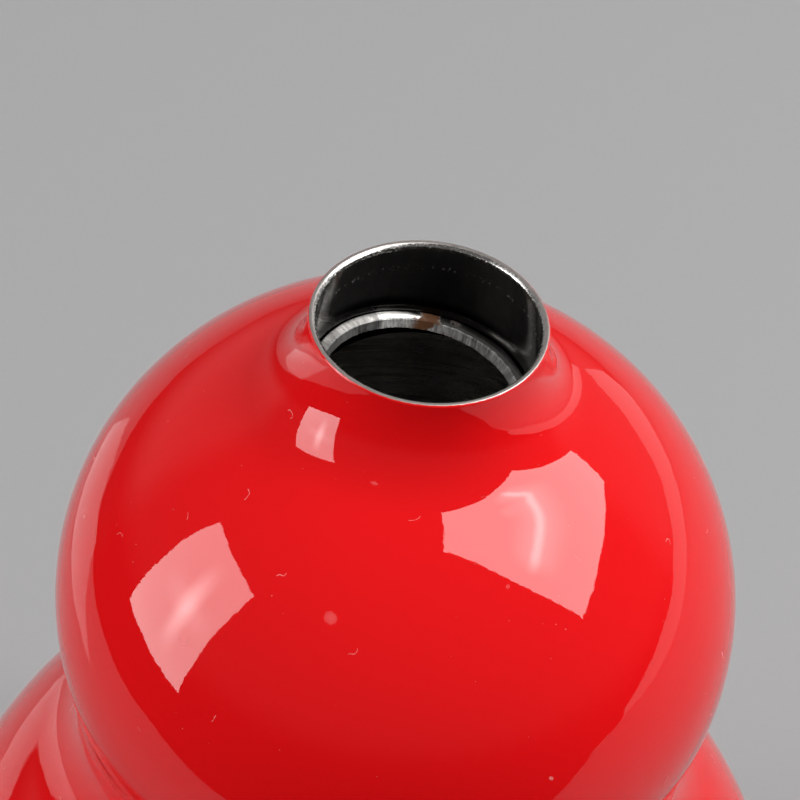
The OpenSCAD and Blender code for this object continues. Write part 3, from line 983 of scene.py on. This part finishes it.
# Outlines of the two big lights, as shares of their distance
LEFT_OUTLINE = ((-0.21, 0.42), (0.31, 0.41), (0.235, -0.44), (-0.29, -0.335))
RIGHT_OUTLINE = (
    (0.37, -0.18), (0.31, -0.33), (0.18, -0.33), (-0.13, -0.34), (-0.5, -0.39), (-0.5, 0.03), (-0.45, 0.64),
    (-0.21, 0.64), (-0.1, 0.43), (0.01, 0.3), (0.07, 0.25), (0.16, 0.21), (0.19, 0.11), (0.27, -0.03),
)
# Sheets on the floor that the gloss reflects, in metres
PAPER_OUTLINE = (
    (-0.12, -0.135), (0.21, -0.158), (0.4, -0.19), (0.57, -0.14), (0.74, 0.1), (1.03, 0.45), (1.4, 1.6),
    (-0.8, 1.6), (-0.48, 0.38), (-0.395, 0.2), (-0.305, 0.01), (-0.225, -0.1),
)
CARD_OUTLINE = ((-0.165, 0.22), (-0.3, 0.34), (-0.42, 0.33), (-0.395, 0.16), (-0.185, 0.02), (-0.197, 0.055),
                (-0.187, 0.107), (-0.177, 0.155))


def left_glow(n, strength):
    """Even cloth with a tall bright core and a faint bar across it."""
    core_x, core_y = 0.05, 0.01
    parts = n.split(n.place())
    wide = n.math("ABSOLUTE", n.minus(n.math("DIVIDE", parts[0], LIGHT_DISTANCE), core_x))
    tall = n.math("ABSOLUTE", n.minus(n.math("DIVIDE", parts[1], LIGHT_DISTANCE), core_y))
    core = n.times(n.fade(wide, 0.08, 0.0), n.fade(tall, 0.36, 0.0))
    bar = n.times(n.fade(tall, 0.12, 0.0), n.fade(wide, 0.26, 0.0))
    return n.times(strength, n.plus(0.85, n.plus(n.times(core, 0.75), n.times(bar, 0.25))))


def right_glow(n, strength):
    """Even cloth with a curved tube showing through it."""
    bend_x, bend_y, bend_r = -0.12, 0.19, 0.145
    parts = n.split(n.place())
    x = n.math("DIVIDE", parts[0], LIGHT_DISTANCE)
    y = n.math("DIVIDE", parts[1], LIGHT_DISTANCE)
    dx = n.minus(x, bend_x)
    dy = n.minus(y, bend_y)
    bend = n.minus(n.math("SQRT", n.plus(n.times(dx, dx), n.times(dy, dy))), bend_r)
    straight = n.minus(y, bend_y - bend_r)
    on_bend = n.math("GREATER_THAN", dx, 0.0)
    off = n.math("ABSOLUTE", n.plus(n.times(on_bend, bend), n.times(n.minus(1.0, on_bend), straight)))
    inside = n.times(n.fade(x, -0.42, -0.28), n.fade(y, 0.33, 0.22))
    tube = n.times(n.fade(off, 0.05, 0.0), inside)
    haze = n.times(n.fade(off, 0.2, 0.0), inside)
    return n.times(strength, n.plus(0.88, n.plus(n.times(tube, 0.7), n.times(haze, 0.35))))


def lamp_glow(n, strength):
    """Disc that is dimmer towards its edge."""
    out = n.round_axis(n.place())[1]
    return n.times(strength, n.fade(out, 0.06, 0.02, 0.6, 1.0))


def towards(azimuth, elevation):
    """Unit vector of a direction; azimuth is taken from +Y towards +X."""
    az, el = radians(azimuth), radians(elevation)
    return Vector((sin(az) * cos(el), cos(az) * cos(el), sin(el)))


class VESSEL_OT_stage(bpy.types.Operator):
    """Sets the floor, the lights, the room and the camera"""
    bl_idname = "vessel.stage"
    bl_label = "Stage"

    def execute(self, context):
        studio = context.scene.vessel_studio
        s = context.scene.vessel_sizes
        heart = Vector((0, 0, ShellOutline(s).upper_z))
        self.floor(studio)
        self.lights(studio, heart)
        self.room(context, studio)
        self.camera(context, studio, heart)
        return {"FINISHED"}

    def floor(self, studio):
        wide = 6.0
        floor = flat_piece("floor", ((-wide, -wide), (wide, -wide), (wide, wide), (-wide, wide)),
                           matt("floor_paper", studio.floor))
        seen_by(floor, camera=True, diffuse=True)
        paper = flat_piece("paper", PAPER_OUTLINE, matt("sweep_paper", studio.floor))
        paper.location.z = 0.3 * MM
        seen_by(paper, glossy=True)
        card = flat_piece("card", CARD_OUTLINE, matt("white_card", (0.7, 0.7, 0.7)))
        card.location.z = 0.6 * MM
        seen_by(card, glossy=True)

    def lights(self, studio, heart):
        panels = (
            ("left_light", LEFT_OUTLINE, -105, 11, left_glow, studio.left_power),
            ("right_light", RIGHT_OUTLINE, 78, 48, right_glow, studio.right_power),
        )
        for name, outline, azimuth, elevation, build, power in panels:
            size = [(x * LIGHT_DISTANCE, y * LIGHT_DISTANCE) for x, y in outline]
            panel = flat_piece(name, size, glow(name + "_cloth", power, build))
            panel.matrix_world = facing(heart, azimuth, elevation, LIGHT_DISTANCE)
            seen_by(panel, diffuse=True, glossy=True)
        lamp_cloth = glow("lamp_cloth", studio.lamp_power, lamp_glow)
        for name, azimuth, elevation, r in LAMPS:
            lamp = flat_piece(name, arc((0, 0), r, 0, 360, 32)[1:], lamp_cloth)
            lamp.matrix_world = facing(heart, azimuth, elevation, LIGHT_DISTANCE)
            seen_by(lamp, glossy=True)
        self.strip(studio, heart)

    def strip(self, studio, heart):
        """Long light strip that bends round the right side, seen only in the gloss."""
        mesh = bpy.data.meshes.new("strip")
        points = [heart + towards(*way) * LIGHT_DISTANCE for pair in STRIP_EDGES for way in pair]
        bands = [(2 * i, 2 * i + 1, 2 * i + 3, 2 * i + 2) for i in range(len(STRIP_EDGES) - 1)]
        mesh.from_pydata(points, [], bands)
        mesh.materials.append(glow("strip_cloth", studio.strip_power))
        strip = bpy.data.objects.new("strip", mesh)
        bpy.context.scene.collection.objects.link(strip)
        seen_by(strip, glossy=True)

    def room(self, context, studio):
        world = bpy.data.worlds.new("room")
        world.use_nodes = True
        n = Nodes(world.node_tree)
        back = world.node_tree.nodes["Background"]
        ray = n.add("ShaderNodeLightPath").outputs
        way = n.add("ShaderNodeTexCoord").outputs["Generated"]
        aim = n.split(way)
        above = n.fade(aim[2], -0.16, 0.1, 0.12, 1.0)
        behind = n.times(n.fade(aim[1], 0.25, 0.5), n.fade(aim[2], 0.8, 0.5))
        dark_spot = tuple(towards(25, 66))
        gap = n.fade(n.vector("DOT_PRODUCT", way, dark_spot), 0.95, 0.985, 1.0, 0.05)
        level = n.plus(studio.room, n.times(behind, studio.back_room))
        dim = n.times(n.times(above, gap), level)
        backdrop, fill = (0.42, 0.42, 0.42, 1), (0.4, 0.4, 0.4, 1)
        seen = n.mix(ray["Is Camera Ray"], dim, backdrop)
        n.put(back.inputs["Color"], n.mix(ray["Is Diffuse Ray"], seen, fill))
        context.scene.world = world
        context.scene.view_settings.view_transform = "Standard"

    def camera(self, context, studio, heart):
        data = bpy.data.cameras.new("camera")
        data.lens_unit = "FOV"
        data.angle = studio.view_angle
        data.clip_start = 0.01
        camera = bpy.data.objects.new("camera", data)
        context.scene.collection.objects.link(camera)
        h, d = studio.view_height, studio.view_distance
        place = heart + Vector((0, -d * cos(h), d * sin(h)))
        turn = (Matrix.Rotation(pi / 2 - h, 4, "X") @ Matrix.Rotation(studio.view_roll, 4, "Z")
                @ Matrix.Rotation(studio.aim_low, 4, "X") @ Matrix.Rotation(-studio.aim_side, 4, "Y"))
        camera.matrix_world = Matrix.Translation(place) @ turn
        context.scene.camera = camera


class VESSEL_PT_panel(bpy.types.Panel):
    """Lists the vessel's pieces and settings"""
    bl_idname = "VESSEL_PT_panel"
    bl_label = "Gourd Vacuum Vessel"
    bl_space_type = "VIEW_3D"
    bl_region_type = "UI"
    bl_category = "Vessel"

    def draw(self, context):
        for operator in OPERATORS:
            self.layout.operator(operator.bl_idname)
        for name in SETTINGS:
            settings = getattr(context.scene, name)
            box = self.layout.box()
            for key in settings.__annotations__:
                box.prop(settings, key)


OPERATORS = (
    VESSEL_OT_stage, VESSEL_OT_shells, VESSEL_OT_mouth, VESSEL_OT_liner, VESSEL_OT_base,
    VESSEL_OT_vacuum_parts,
)
SETTINGS = {
    "vessel_sizes": VesselSizes, "vessel_finishes": VesselFinishes, "vessel_studio": StudioSettings,
}
CLASSES = (*SETTINGS.values(), *OPERATORS, VESSEL_PT_panel)


def register():
    for cls in CLASSES:
        bpy.utils.register_class(cls)
    for name, cls in SETTINGS.items():
        setattr(bpy.types.Scene, name, PointerProperty(type=cls))


def unregister():
    for name in SETTINGS:
        delattr(bpy.types.Scene, name)
    for cls in reversed(CLASSES):
        bpy.utils.unregister_class(cls)


def main():
    register()
    bpy.ops.vessel.stage()
    bpy.ops.vessel.shells()
    bpy.ops.vessel.mouth()
    bpy.ops.vessel.liner()
    bpy.ops.vessel.base()
    bpy.ops.vessel.vacuum_parts()


if __name__ == "__main__":
    main()
